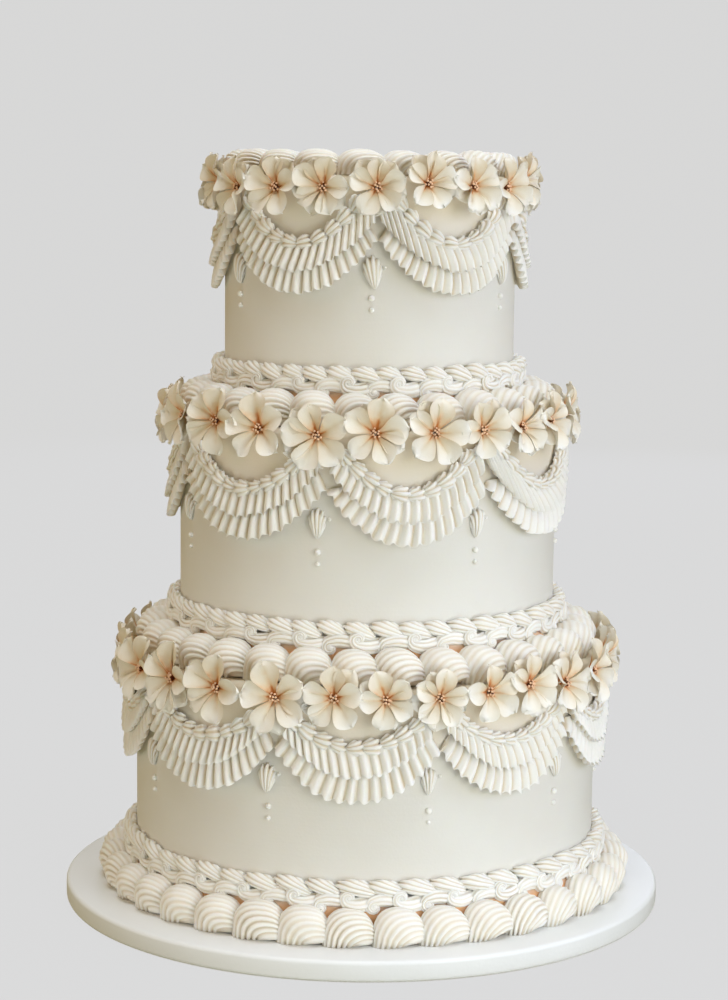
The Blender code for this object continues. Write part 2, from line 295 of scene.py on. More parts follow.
@dataclass(frozen=True)
class Piper:
    """A piping tip: the ribs that it leaves round the icing, and the shapes that it pipes.

    Attributes:
        ribs: how many there are in a full round.
        depth: of a groove.
        samples: points in a rib.
        edge: the grooves' outline: 0.5 is narrow between flat ribs, and 1 is as wide as the ribs.
        shell_sides: how far round from a shell's crest its ribs show, in degrees.
        rope_sides: the same for a rope.
        crest_half: how far from its middle a shell's crest reaches, in degrees.
        dome: the shell's outline seen from the side: lower is fuller.
    """

    ribs: int
    depth: float
    samples: int = 6
    edge: float = 0.55
    shell_sides: float = 128.0
    rope_sides: float = 118.0
    crest_half: float = 62.0
    dome: float = 0.72

    def turns(self, hidden: float) -> np.ndarray:
        """Angles round a section, close together where ribs show and apart where they don't.

        Args:
            hidden: the angle from the crest beyond which the section is out of sight, in radians.

        Returns:
            The angles, from the hidden side over the crest and back.
        """
        step = math.tau / (self.ribs * self.samples)
        seen = np.arange(-hidden, hidden + step / 2, step)
        unseen = np.linspace(hidden, math.tau - hidden, 6)[1:-1]
        return np.concatenate([seen, unseen])

    def rib(self, turns: np.ndarray, phase: float) -> np.ndarray:
        """The rib at each angle, from 0 in a groove to 1 on a crest."""
        return np.abs(np.cos(self.ribs * (turns + phase) / 2.0)) ** self.edge

    def shell(self, shape: ShellShape, phase: float, rows: int) -> tuple[np.ndarray, np.ndarray]:
        """A piped shell: a round ribbed head that is drawn out to a tail.

        Args:
            shape: its measures.
            phase: turns the ribs about the crest, in radians.
            rows: sections from head to tail.

        Returns:
            Loops of (along, side, up) with the head at the left and the crest towards +up, and how
            far down in a groove each point is, from 0 to 1.
        """
        half = shape.length / 2.0
        share = np.linspace(0.0, 1.0, rows) ** 0.92
        lean = math.pi * (1.0 - (1.0 - 0.19 * shape.tail) * share)
        reach = np.sign(np.cos(lean)) * np.abs(np.cos(lean)) ** 0.86
        crest_along = half * np.where(reach > 0, 1.22, 1.0) * reach
        crest_up = shape.height * np.maximum(np.sin(lean), 0.0) ** self.dome
        spine_along = half * (0.5 + 0.7 * share)
        middle_along, middle_up = (crest_along + spine_along) / 2.0, crest_up / 2.0
        half_along, half_up = crest_along - middle_along, crest_up - middle_up
        power = 2.4 if shape.taper < 0.75 else 1.3
        end = (1.0 - shape.tail ** (1.0 / shape.taper)) ** (1.0 / power)
        run = np.clip((share - shape.shoulder) / (1.0 - shape.shoulder), 0.0, 1.0)
        narrow = (1.0 - (end * run) ** power) ** shape.taper
        swell = np.sin(math.pi / 2.0 * np.minimum(share / 0.34, 1.0))
        spread = shape.width / 2.0 * (shape.start + (1.0 - shape.start) * swell) * narrow
        turns = self.turns(math.radians(self.shell_sides))
        rib = self.rib(turns, phase)
        off_crest = np.clip(np.abs(turns) / math.radians(self.crest_half), 0.0, 1.0)
        fade = shape.crest + (1.0 - shape.crest) * off_crest**1.5
        groove = (1.0 - rib)[None, :] * np.where(np.abs(turns) > math.pi, 1.0, fade)[None, :]
        groove = groove * (1.0 + shape.head * (1.0 - share[:, None]) ** 3)
        size = (np.hypot(half_along, half_up) + spread)[:, None] / 2.0
        push = 1.0 - groove * self.depth / np.maximum(size, self.depth * 1.6)
        down = np.cos(turns)[None, :]
        full = np.where(np.cos(turns) < 0, 0.5, 0.92)
        sideways = np.sign(np.sin(turns)) * np.abs(np.sin(turns)) ** full
        along = middle_along[:, None] + half_along[:, None] * down * push
        up = middle_up[:, None] + half_up[:, None] * down * push
        side = spread[:, None] * sideways[None, :] * push
        side = side - shape.lean * (spread.max() - spread)[:, None]
        groove = np.broadcast_to(np.clip(groove, 0.0, 1.0), along.shape)
        return np.stack([along, side, np.maximum(up, -0.3)], -1), groove

    def sweep(self, path: np.ndarray, sizes: np.ndarray, phase: float) -> tuple[np.ndarray, np.ndarray]:
        """A ribbed rope of icing that follows a flat path.

        Args:
            path: points as (along, proud, height).
            sizes: the rope's radius at each point.
            phase: turns the ribs, in radians.

        Returns:
            Loops of (along, proud, height), and how far down in a groove each point is.
        """
        ahead = np.gradient(path, axis=0)
        ahead /= np.linalg.norm(ahead, axis=1, keepdims=True)
        side = np.stack([-ahead[:, 2], np.zeros(len(path)), ahead[:, 0]], -1)
        side /= np.linalg.norm(side, axis=1, keepdims=True)
        out = np.cross(side, ahead)
        out *= np.sign(out[:, 1:2])
        turns = self.turns(math.radians(self.rope_sides))
        rib = self.rib(turns, phase)
        push = sizes[:, None] - (1.0 - rib)[None, :] * np.minimum(self.depth, sizes * 0.45)[:, None]
        loops = (
            path[:, None, :]
            + out[:, None, :] * (np.cos(turns)[None, :] * push)[..., None]
            + side[:, None, :] * (np.sin(turns)[None, :] * push)[..., None]
        )
        loops[..., 1] = np.maximum(loops[..., 1], 0.1)
        return loops, np.broadcast_to((1.0 - rib)[None, :], push.shape)


class NodeKit:
    """Short ways to put nodes into a tree."""

    def __init__(self, tree: bpy.types.NodeTree) -> None:
        """Takes the tree to work in."""
        self.tree = tree

    def add(self, kind: str, inputs: dict, **settings) -> bpy.types.Node:
        """Adds a node.

        Args:
            kind: the node's type name.
            inputs: what feeds each input, by name or number: a socket to link, or a value.
            settings: the node's own settings.

        Returns:
            The node.
        """
        node = self.tree.nodes.new(kind)
        for key, value in settings.items():
            setattr(node, key, value)
        for key, value in inputs.items():
            if isinstance(value, bpy.types.NodeSocket):
                self.tree.links.new(value, node.inputs[key])
            else:
                node.inputs[key].default_value = value
        return node

    def math(self, operation: str, a: object, b: object = 0.0, c: object = 0.0) -> bpy.types.NodeSocket:
        """The result of a sum of up to three values."""
        return self.add("ShaderNodeMath", {0: a, 1: b, 2: c}, operation=operation).outputs[0]

    def mix(self, share: object, a: object, b: object) -> bpy.types.NodeSocket:
        """A colour between two others.

        Args:
            share: how much of the second colour there is, from 0 to 1.
            a: the first colour, or a socket that gives it.
            b: the second.

        Returns:
            The mixed colour.
        """
        node = self.add("ShaderNodeMix", {0: share}, data_type="RGBA")
        for key, value in ((6, a), (7, b)):
            if isinstance(value, bpy.types.NodeSocket):
                self.tree.links.new(value, node.inputs[key])
            else:
                node.inputs[key].default_value = (*value, 1.0)
        return node.outputs[2]

    def band(self, value: object, low: float, high: float) -> bpy.types.NodeSocket:
        """A smooth step from 0 at low to 1 at high."""
        inputs = {"Value": value, "From Min": low, "From Max": high}
        return self.add("ShaderNodeMapRange", inputs, interpolation_type="SMOOTHSTEP").outputs[0]

    def attribute(self, name: str) -> bpy.types.NodeSocket:
        """A named value of the mesh."""
        return self.add("ShaderNodeAttribute", {}, attribute_name=name).outputs["Fac"]


class SharedEffects:
    """The node groups that several finishes use."""

    @staticmethod
    def new_group(
        name: str, inputs: dict[str, float], outputs: list[str]
    ) -> tuple[bpy.types.NodeTree, NodeKit]:
        """Starts a node group of number sockets.

        Args:
            name: the group's name.
            inputs: its inputs and their defaults.
            outputs: its outputs.

        Returns:
            The group and a kit to fill it with.
        """
        group = bpy.data.node_groups.new(name, "ShaderNodeTree")
        for label, value in inputs.items():
            socket = group.interface.new_socket(label, in_out="INPUT", socket_type="NodeSocketFloat")
            socket.default_value = value
        for label in outputs:
            group.interface.new_socket(label, in_out="OUTPUT", socket_type="NodeSocketFloat")
        return group, NodeKit(group)

    @classmethod
    def grain(cls) -> bpy.types.NodeTree:
        """The fine sugar grain and the slow unevenness of icing.

        Returns:
            A group that gives the grain's height, and a mottle from 0 to 1.
        """
        if "sugar_grain" in bpy.data.node_groups:
            return bpy.data.node_groups["sugar_grain"]
        group, kit = cls.new_group("sugar_grain", {"Fine": 900.0, "Slow": 45.0}, ["Height", "Mottle"])
        given = kit.add("NodeGroupInput", {})
        place = kit.add("ShaderNodeTexCoord", {}).outputs["Object"]
        noises = []
        for name, detail in (("Fine", 3.0), ("Slow", 2.0)):
            inputs = {"Vector": place, "Scale": given.outputs[name], "Detail": detail}
            noises.append(kit.add("ShaderNodeTexNoise", inputs))
        fine, slow = noises
        height = kit.math("MULTIPLY_ADD", slow.outputs[0], 0.6, fine.outputs[0])
        mottle = kit.band(slow.outputs[0], 0.3, 0.7)
        kit.add("NodeGroupOutput", {"Height": height, "Mottle": mottle})
        return group


@dataclass(frozen=True)
class Finish:
    """What every finish of the cake has in common.

    Attributes:
        name: the material's name.
        roughness: its middle value over the surface.
        soft: how much light goes into the sugar and comes out again, from 0 to 1.
        grain: the height of the relief, in metres.
        fine: how small the grain is: higher is smaller.
        slow: how small the clouds are, in the same way.
    """

    name: str
    roughness: float = 0.55
    soft: float = 0.0
    grain: float = 0.00012
    fine: float = 900.0
    slow: float = 45.0

    def colour(self, kit: NodeKit, mottle: bpy.types.NodeSocket) -> bpy.types.NodeSocket:
        """The colour over the surface."""
        raise NotImplementedError

    def extra_height(self, kit: NodeKit, height: bpy.types.NodeSocket) -> bpy.types.NodeSocket:
        """The height of the relief, with the grain's to start from."""
        return height

    def material(self) -> bpy.types.Material:
        """The material, made once.

        Returns:
            A material whose colour, roughness and bump change over the surface.
        """
        if self.name in bpy.data.materials:
            return bpy.data.materials[self.name]
        made = bpy.data.materials.new(self.name)
        made.use_nodes = True
        kit = NodeKit(made.node_tree)
        shader = made.node_tree.nodes["Principled BSDF"]
        inputs = {"Fine": self.fine, "Slow": self.slow}
        grain = kit.add("ShaderNodeGroup", inputs, node_tree=SharedEffects.grain())
        links = made.node_tree.links
        links.new(self.colour(kit, grain.outputs["Mottle"]), shader.inputs["Base Color"])
        rough = kit.math("MULTIPLY_ADD", grain.outputs["Mottle"], 0.08, self.roughness - 0.04)
        links.new(rough, shader.inputs["Roughness"])
        height = self.extra_height(kit, grain.outputs["Height"])
        bump = kit.add("ShaderNodeBump", {"Height": height, "Distance": self.grain, "Strength": 1.0})
        links.new(bump.outputs[0], shader.inputs["Normal"])
        shader.inputs["Subsurface Weight"].default_value = self.soft
        shader.inputs["Subsurface Radius"].default_value = (1.0, 0.72, 0.42)
        shader.inputs["Subsurface Scale"].default_value = 0.004
        shader.inputs["Specular IOR Level"].default_value = 0.35
        return made


@dataclass(frozen=True)
class PipedIcing(Finish):
    """Icing from a piping bag: pale on its ribs, with a warm painted shade in its grooves and folds."""

    pale: Colour = (0.965, 0.955, 0.92)
    # warm: the painted shade laid into grooves and folds and under the ruffles' lips.
    warm: Colour = (0.74, 0.63, 0.45)

    def colour(self, kit: NodeKit, mottle: bpy.types.NodeSocket) -> bpy.types.NodeSocket:
        """Pale ribs, warm painted shade in the grooves and a little unevenness.

        Args:
            kit: for the material's tree.
            mottle: the icing's slow clouds, from 0 to 1.

        Returns:
            The colour over the surface.
        """
        # Painted shade: the deeper a point lies in a groove, the more of the warm shade colour it
        # takes.
        depth = kit.band(kit.attribute("groove"), 0.15, 0.95)
        share = kit.math("MULTIPLY_ADD", mottle, 0.08, kit.math("MULTIPLY", depth, 0.8))
        return kit.mix(share, self.pale, self.warm)


@dataclass(frozen=True)
class SmoothIcing(Finish):
    """Icing drawn smooth with a scraper, amber where piping covers it, with painted shade under the
    blossoms.
    """

    pale: Colour = (0.828, 0.818, 0.768)
    deep: Colour = (0.808, 0.788, 0.733)
    amber: Colour = (0.90, 0.50, 0.24)
    # The painted shade laid on the wall under the blossoms.
    blossom_shade: Colour = (0.84, 0.755, 0.60)

    def colour(self, kit: NodeKit, mottle: bpy.types.NodeSocket) -> bpy.types.NodeSocket:
        """Ivory with slow clouds, amber at the covered foot and painted shade at the top, under the
        blossoms.
        """
        # Painted shade: the wall is darkened and warmed towards its top, under the blossoms.
        open_wall = kit.mix(kit.attribute("shade"), kit.mix(mottle, self.pale, self.deep), self.blossom_shade)
        return kit.mix(kit.attribute("foot"), open_wall, self.amber)

    def extra_height(self, kit: NodeKit, height: bpy.types.NodeSocket) -> bpy.types.NodeSocket:
        """Adds the long level marks of the scraper.

        Args:
            kit: for the material's tree.
            height: of the grain.

        Returns:
            The height of both.
        """
        place = kit.add("ShaderNodeTexCoord", {}).outputs["Object"]
        inputs = {"Vector": place, "Scale": (9.0, 9.0, 420.0)}
        stretched = kit.add("ShaderNodeMapping", inputs).outputs[0]
        marks = kit.add("ShaderNodeTexNoise", {"Vector": stretched, "Scale": 1.0, "Detail": 2.0})
        return kit.math("MULTIPLY_ADD", marks.outputs[0], 0.8, height)


@dataclass(frozen=True)
class SugarPetal(Finish):
    """Thin sugar petals: cream, with a peach throat that runs out in streaks, and a tan that is partly
    their own colour and partly painted shade.
    """

    cream: Colour = (0.935, 0.885, 0.775)
    # The tan towards the throat: partly the sugar's own colour, partly painted shade in the petal's cup
    # and between petals.
    shade: Colour = (0.79, 0.66, 0.46)
    edge: Colour = (0.95, 0.925, 0.86)
    peach: Colour = (0.85, 0.54, 0.29)
    throat: Colour = (0.62, 0.22, 0.06)

    def colour(self, kit: NodeKit, mottle: bpy.types.NodeSocket) -> bpy.types.NodeSocket:
        """Throat to edge along each petal, with the streaks along its veins, and painted shade with the
        sugar's own tan towards the base and along the veins.

        Args:
            kit: for the material's tree.
            mottle: the sugar's slow clouds, from 0 to 1.

        Returns:
            The colour over the surface.
        """
        reach, vein = kit.attribute("reach"), kit.attribute("vein")
        uneven = kit.math("MULTIPLY_ADD", mottle, 0.10, reach)
        run = kit.math("MULTIPLY_ADD", vein, -0.16, uneven)
        # Painted shade with the sugar's own tan: darker towards the base and along the veins.
        shaded = kit.math("MULTIPLY_ADD", vein, -0.22, uneven)
        tan = kit.mix(kit.band(shaded, 0.02, 0.74), self.shade, self.cream)
        blush = kit.mix(kit.band(run, 0.03, 0.36), self.peach, tan)
        outer = kit.mix(kit.band(uneven, 0.70, 1.02), blush, self.edge)
        return kit.mix(kit.band(run, 0.03, 0.20), self.throat, outer)


@dataclass(frozen=True)
class StamenSugar(Finish):
    """Stamens: burnt orange threads with paler tips."""

    thread: Colour = (0.22, 0.055, 0.015)
    tip: Colour = (0.95, 0.64, 0.42)

    def colour(self, kit: NodeKit, mottle: bpy.types.NodeSocket) -> bpy.types.NodeSocket:
        """Dark at the foot and pale at the tip."""
        return kit.mix(kit.band(kit.attribute("tip"), 0.3, 1.0), self.thread, self.tip)


@dataclass(frozen=True)
class BoardCover(Finish):
    """The board's smooth white covering."""

    white: Colour = (0.87, 0.88, 0.875)
    grey: Colour = (0.845, 0.855, 0.85)

    def colour(self, kit: NodeKit, mottle: bpy.types.NodeSocket) -> bpy.types.NodeSocket:
        """White with faint clouds."""
        return kit.mix(mottle, self.white, self.grey)


PIPED = PipedIcing("cream_piping", roughness=0.5, soft=0.12)
SMOOTH = SmoothIcing("smooth_icing", roughness=0.6, soft=0.08, grain=0.00009, fine=700.0, slow=18.0)
PETAL = SugarPetal("sugar_petal", roughness=0.62, soft=0.12, grain=0.00008, fine=1400.0, slow=160.0)
STAMEN = StamenSugar("stamen_sugar", roughness=0.5, grain=0.00005, fine=2000.0, slow=300.0)
BOARD = BoardCover("board_cover", roughness=0.4, grain=0.00006, fine=500.0, slow=12.0)


@dataclass
class CakeBoard:
    """The round drum that the cake stands on."""

    radius: float = 177.8
    edge: float = 2.4
    steps: int = 160

    def build(self) -> None:
        """Turns the board with a soft rounded edge."""
        turn = np.linspace(0.0, math.pi / 2, 6)
        inner, top = self.radius - self.edge, BOARD_THICKNESS
        high = np.stack([inner + self.edge * np.sin(turn), top - self.edge * (1 - np.cos(turn))], -1)
        low = np.stack([inner + self.edge * np.cos(turn), self.edge * (1 - np.sin(turn))], -1)
        flat = [(r, top) for r in (1.0, 80.0, 140.0, 165.0)]
        under = [(r, 0.0) for r in (165.0, 80.0, 1.0)]
        profile = np.array([*flat, *high.tolist(), *low.tolist(), *under])
        store = MeshStore()
        store.add_tube(turned(profile, self.steps, 0.0), {})
        mount(store.build("board_cover", BOARD.material()), ["board"])


def turned(profile: np.ndarray, steps: int, shift: float) -> np.ndarray:
    """A profile turned round the upright axis.

    Args:
        profile: (radius, height) of each point, from the middle of the top to that of the underside.
        steps: points in a round.
        shift: where the axis stands along X.

    Returns:
        Loops for a closed skin.
    """
    turn = np.arange(steps) * math.tau / steps
    loops = np.empty((len(profile), steps, 3))
    loops[..., 0] = shift + profile[:, :1] * np.sin(turn)
    loops[..., 1] = -profile[:, :1] * np.cos(turn)
    loops[..., 2] = profile[:, 1:]
    return loops


@dataclass
class IcedTier:
    """The smooth wall and top of one tier, with the drops and pearls piped on it.

    Attributes:
        tier: the tier.
        edge: the radius of the rounded edge.
        foot: how high the piping covers the wall.
        collar: how far the amber icing at the covered foot stands out.
        drop_top: how far below the tier's top a drop begins.
        drop_length: how long a drop is.
        drop_width: how wide it is.
        drop_proud: how far it stands off the wall.
        drop_shift: its angle from the place where two swags meet, in degrees.
        pearls: how far below the tier's top each is, and its radius.
        shade_from: the height from which painted shade is laid on the wall under the blossoms.
        shade_run: how much higher the painted shade is full.
        steps: points in a round of the wall.
    """

    tier: Tier
    edge: float = 4.0
    foot: float = 21.0
    collar: float = 5.5
    drop_top: float = 43.4
    drop_length: float = 15.5
    drop_width: float = 10.4
    drop_proud: float = 4.6
    drop_shift: float = -2.2
    pearls: tuple[tuple[float, float], ...] = ((67.6, 1.75), (74.2, 1.4))
    shade_from: float = 96.0
    shade_run: float = 26.0
    steps: int = 128

    def build_wall(self) -> None:
        """The cylinder of icing, with a collar of amber icing at its covered foot."""
        turn = np.linspace(0.0, math.pi / 2, 7)
        radius, top = self.tier.radius, TIER_HEIGHT
        inner = radius - self.edge
        high = np.stack([inner + self.edge * np.sin(turn), top - self.edge * (1 - np.cos(turn))], -1)
        heights = np.linspace(top - self.edge - 6.0, 0.4, 25)
        bulge = self.collar * np.clip((self.foot + 1.0 - heights) / 5.0, 0.0, 1.0)
        sides = np.stack([radius + bulge, heights], -1).tolist()
        flat = [(r, top) for r in (1.0, radius * 0.5, radius * 0.85)]
        profile = np.array([*flat, *high.tolist(), *sides, (radius * 0.5, 0.4), (1.0, 0.4)])
        loops = turned(profile, self.steps, CAKE_SHIFT)
        loops[..., 2] += self.tier.seat
        foot = np.clip((self.foot - profile[:, 1]) / 5.0, 0.0, 1.0) * (profile[:, 1] > 0.0)
        # Painted shade under the blossoms, rising towards the tier's top; the flat top itself keeps a
        # quarter of it.
        shade = np.clip((profile[:, 1] - self.shade_from) / self.shade_run, 0.0, 1.0) ** 1.5
        shade[:3] = 0.25
        values = {
            "foot": np.broadcast_to(foot[:, None], loops.shape[:2]),
            "shade": np.broadcast_to(shade[:, None], loops.shape[:2]),
        }
        store = MeshStore()
        store.add_tube(loops, values)
        name = f"tier_{self.tier.name}"
        mount(store.build(f"{name}_icing", SMOOTH.material()), [name])

    def build_drops(self) -> None:
        """A ribbed drop and two pearls under each place where swags meet."""
        rng = np.random.default_rng(300 + self.tier.level)
        store = MeshStore()
        tip = Piper(ribs=9, depth=1.5, edge=0.8)
        sizes = (self.drop_length, self.drop_proud, self.drop_width)
        shape = ShellShape(*sizes, tail=0.03, taper=1.0, shoulder=0.14, head=1.2)
        for peak in self.tier.peaks:
            angle = peak + self.drop_shift + rng.uniform(-0.6, 0.6)
            drop = shape.scaled(1.0 + rng.uniform(-0.1, 0.1))
            loops, groove = tip.shell(drop, rng.uniform(-0.2, 0.2), rows=12)
            slant = rng.uniform(-0.12, 0.12)
            middle = TIER_HEIGHT - self.drop_top - drop.length / 2 + rng.uniform(-0.8, 0.8)
            across = loops[..., 1] + slant * loops[..., 0]
            flat = np.stack([across, loops[..., 2] - 0.1, middle - loops[..., 0]], -1)
            store.add_tube(self.tier.wall.wrap(flat, angle), {"groove": groove})
            bead_angle = angle + rng.uniform(-0.3, 0.3)
            for depth, size in self.pearls:
                self.add_bead(store, bead_angle, TIER_HEIGHT - depth, size * rng.uniform(0.9, 1.1))
            side = math.degrees((self.drop_width / 2 + 1.4) / self.tier.radius)
            self.add_bead(store, angle + side, middle + 1.5, 1.1)
        mount(store.build(f"drops_{self.tier.name}", PIPED.material()), [])

    def add_bead(self, store: MeshStore, angle: float, height: float, size: float) -> None:
        """Adds one pearl of icing.

        Args:
            store: where it goes.
            angle: where it sits round the cake.
            height: of its middle over the tier's foot.
            size: its radius.
        """
        loops = self.tier.wall.wrap(ball(0.0, 0.45 * size, height, size), angle)
        store.add_tube(loops, {"groove": np.zeros(loops.shape[:2])})


@dataclass
class ShellBorder:
    """A ring of large ribbed shells.

    Attributes:
        name: the node that the ring stands for.
        ring: how many shells there are, and where they begin.
        inner: the radius of the ring's inside.
        outer: the radius of its outside.
        height: of a shell.
        seat: the height of what the shells are piped on.
        seed: for their unevenness.
        slant: how far each shell is turned out of the ring's line, in degrees.
        shade_floor: how much painted groove shade even a rib takes, from 0 to 1.
    """

    name: str
    ring: Ring
    inner: float
    outer: float
    height: float
    seat: float
    seed: int
    slant: float = -14.0
    shade_floor: float = 0.32

    def build(self) -> None:
        """Pipes the shells one after another, each over the last one's tail."""
        rng = np.random.default_rng(self.seed)
        tip = Piper(ribs=19, depth=1.9, samples=4)
        middle = (self.inner + self.outer) / 2.0
        wall = Wall(middle, self.seat)
        pitch = math.tau * middle / self.ring.count
        width = (self.outer - self.inner) * 1.02
        shape = ShellShape(pitch * 1.06, self.height, width, crest=0.6, start=0.62)
        low, high = self.inner - middle, self.outer - middle
        store = MeshStore()
        for k in range(self.ring.count):
            sized = shape.scaled(1.0 + rng.uniform(-0.035, 0.035))
            loops, groove = tip.shell(sized, rng.uniform(-0.15, 0.15), rows=13)
            yaw = math.radians(self.slant + rng.uniform(-4.0, 4.0))
            along = loops[..., 0] * math.cos(yaw) - loops[..., 1] * math.sin(yaw)
            side = loops[..., 0] * math.sin(yaw) + loops[..., 1] * math.cos(yaw)
            flat = np.stack([along, np.clip(side, low, high + 1.0), loops[..., 2]], -1)
            place = (k + 0.5 + rng.uniform(-0.03, 0.03)) / self.ring.count
            # Painted shade: even the ribs of the large shells take a share of the groove shade.
            values = {"groove": self.shade_floor + (1.0 - self.shade_floor) * groove}
            store.add_tube(wall.wrap(flat, self.ring.first + 360.0 * place), values)
        mount(store.build(f"{self.name}_piping", PIPED.material()), [self.name])


@dataclass
class RopeBorder:
    """Two rows of piping against a wall: small shells above, and scrolls that curl in turn below.

    Attributes:
        tier: the tier whose wall they are piped on.
        shell_level: the height of the shells over the wall's foot.
        down_level: the height of the heads that curl down.
        up_level: the height of the heads that curl up.
        heart: the radius of the ball in the middle of a scroll's head.
        heart_proud: how far that ball's middle stands off the wall.
        size_places: places along a scroll, from inside its curl, at which its radius is given.
        rope_sizes: its radius there.
        proud_places: places along a scroll at which its distance from the wall is given.
        rope_proud: how far its middle stands off the wall there.
    """

    tier: Tier
    shell_level: float = 29.8
    down_level: float = 19.4
    up_level: float = 24.7
    heart: float = 1.9
    heart_proud: float = 6.1
    size_places: tuple[float, ...] = (0.0, 0.02, 0.05, 0.1, 0.3, 0.5, 0.75, 0.9, 1.0)
    rope_sizes: tuple[float, ...] = (0.6, 1.4, 1.8, 2.1, 2.9, 4.5, 4.9, 3.6, 1.6)
    proud_places: tuple[float, ...] = (0.0, 0.06, 0.2, 0.4, 0.6, 0.8, 1.0)
    rope_proud: tuple[float, ...] = (6.2, 6.2, 5.8, 4.8, 3.8, 2.6, 1.6)

    def build(self) -> None:
        """Pipes both rows as one piece."""
        store = MeshStore()
        self.add_scrolls(store)
        self.add_shells(store)
        name = f"rope_{self.tier.name}"
        mount(store.build(f"{name}_piping", PIPED.material()), [name])

    def add_shells(self, store: MeshStore) -> None:
        """The upper row, heads to the left and tails drawn down to the right.

        Args:
            store: where they go.
        """
        rng = np.random.default_rng(500 + self.tier.level)
        tip = Piper(ribs=9, depth=1.35, samples=5, edge=0.7)
        ring = self.tier.rope[Row.SHELLS]
        pitch = math.tau * (self.tier.radius + 4.0) / ring.count
        shape = ShellShape(
            length=pitch * 1.2,
            height=8.0,
            width=9.2,
            tail=0.34,
            taper=0.8,
            shoulder=0.3,
            lean=0.9,
            head=0.6,
            start=0.7,
        )
        for k in range(ring.count):
            sized = shape.scaled(1.0 + rng.uniform(-0.07, 0.07))
            loops, groove = tip.shell(sized, rng.uniform(-0.12, 0.12), rows=11)
            tilt = math.radians(-13.0 + rng.uniform(-5.0, 5.0))
            along = loops[..., 0] * math.cos(tilt) - loops[..., 1] * math.sin(tilt)
            up = loops[..., 0] * math.sin(tilt) + loops[..., 1] * math.cos(tilt)
            height = self.shell_level + rng.uniform(-0.5, 0.5)
            flat = np.stack([along + pitch * 0.28, loops[..., 2], height + up], -1)
            angle = ring.first + 360.0 * (k + rng.uniform(-0.05, 0.05)) / ring.count
            store.add_tube(self.tier.wall.wrap(flat, angle), {"groove": groove})

    def add_scrolls(self, store: MeshStore) -> None:
        """The lower row of reverse shells.

        Args:
            store: where they go.
        """
        rng = np.random.default_rng(520 + self.tier.level)
        tip = Piper(ribs=9, depth=1.3, samples=4, edge=0.7)
        ring = self.tier.rope[Row.SCROLLS]
        pitch = math.tau * (self.tier.radius + 4.5) / ring.count
        for k in range(ring.count):
            curl = Curl.UP if k % 2 else Curl.DOWN
            path, sizes = self.scroll_path(curl, pitch, 1.0 + rng.uniform(-0.06, 0.06))
            level = self.up_level if curl is Curl.UP else self.down_level
            path[:, 2] += level + rng.uniform(-0.4, 0.4)
            loops, groove = tip.sweep(path, sizes, rng.uniform(-0.2, 0.2))
            angle = ring.first + 360.0 * (k + rng.uniform(-0.06, 0.06)) / ring.count
            store.add_tube(self.tier.wall.wrap(loops, angle), {"groove": groove})
            heart = ball(0.0, self.heart_proud, level, self.heart)
            faint = np.full(heart.shape[:2], 0.12)
            store.add_tube(self.tier.wall.wrap(heart, angle), {"groove": faint})

    def scroll_path(self, curl: Curl, pitch: float, size: float) -> tuple[np.ndarray, np.ndarray]:
        """The path of one scroll, from inside its curl to the end of its tail.

        Args:
            curl: which way its head turns.
            pitch: from one scroll to the next.
            size: how large it is.

        Returns:
            Points as (along, proud, height) about the middle of its curl, and the rope's radius
            there.
        """
        share = np.linspace(0.0, 1.0, 13)
        turn = np.radians(75.0 - 347.0 * share)
        reach = 0.6 + 3.2 * share**1.1
        head = np.stack([reach * np.cos(turn), reach * np.sin(turn)], -1)
        start, ahead = head[-1], head[-1] - head[-2]
        ahead = ahead / np.linalg.norm(ahead)
        end = np.array([pitch * 1.04, 1.4])
        bend = start + ahead * pitch * 0.42
        step = np.linspace(0.0, 1.0, 6)[1:, None]
        tail = (1 - step) ** 2 * start + 2 * step * (1 - step) * bend + step**2 * end
        line = np.concatenate([head, tail])
        along = np.concatenate([[0.0], np.cumsum(np.linalg.norm(np.diff(line, axis=0), axis=1))])
        along /= along[-1]
        sizes = np.interp(along, self.size_places, self.rope_sizes)
        proud = np.interp(along, self.proud_places, self.rope_proud)
        sign = -1.0 if curl is Curl.UP else 1.0
        return size * np.stack([line[:, 0], proud, sign * line[:, 1]], -1), size * sizes


@dataclass(frozen=True)
class HangingLine:
    """A line that hangs between the two ends of a swag.

    Attributes:
        half: from the middle to an end, as a share of half the swag's span.
        ends: how far below the tier's top its ends are.
        low: how far below the tier's top its middle is.
        power: how sharply it bends: 2 is a plain curve and more is fuller.
    """

    half: float
    ends: float
    low: float
    power: float = 2.0

    def at(self, share: np.ndarray, half_span: float) -> np.ndarray:
        """Points of the line, as (along, height), at shares from -1 to 1 of its width."""
        along = self.half * half_span * share
        return np.stack([along, self.height(along, half_span)], -1)

    def height(self, along: np.ndarray, half_span: float) -> np.ndarray:
        """How high the line is above the tier's foot, at places along the wall."""
        share = np.abs(along) / (self.half * half_span)
        return TIER_HEIGHT - np.maximum(self.low - (self.low - self.ends) * share**self.power, 2.5)


@dataclass(frozen=True)
class Ruffle:
    """The measures of one pleated ruffle.

    Attributes:
        top: the line of its top edge.
        lip: the line of its free edge.
        pitch: from one pleat to the next.
        proud: how far it stands off the wall, at five places from its top edge to its free edge.
    """

    top: HangingLine
    lip: HangingLine
    pitch: float
    proud: tuple[float, ...]


@dataclass(frozen=True)
class Lean:
    """How the pleats of a ruffle lean, in degrees, down to the right.

    Attributes:
        middle: at the middle of the swag.
        fan: how much further they lean outwards at its ends.
    """

    middle: float
    fan: float


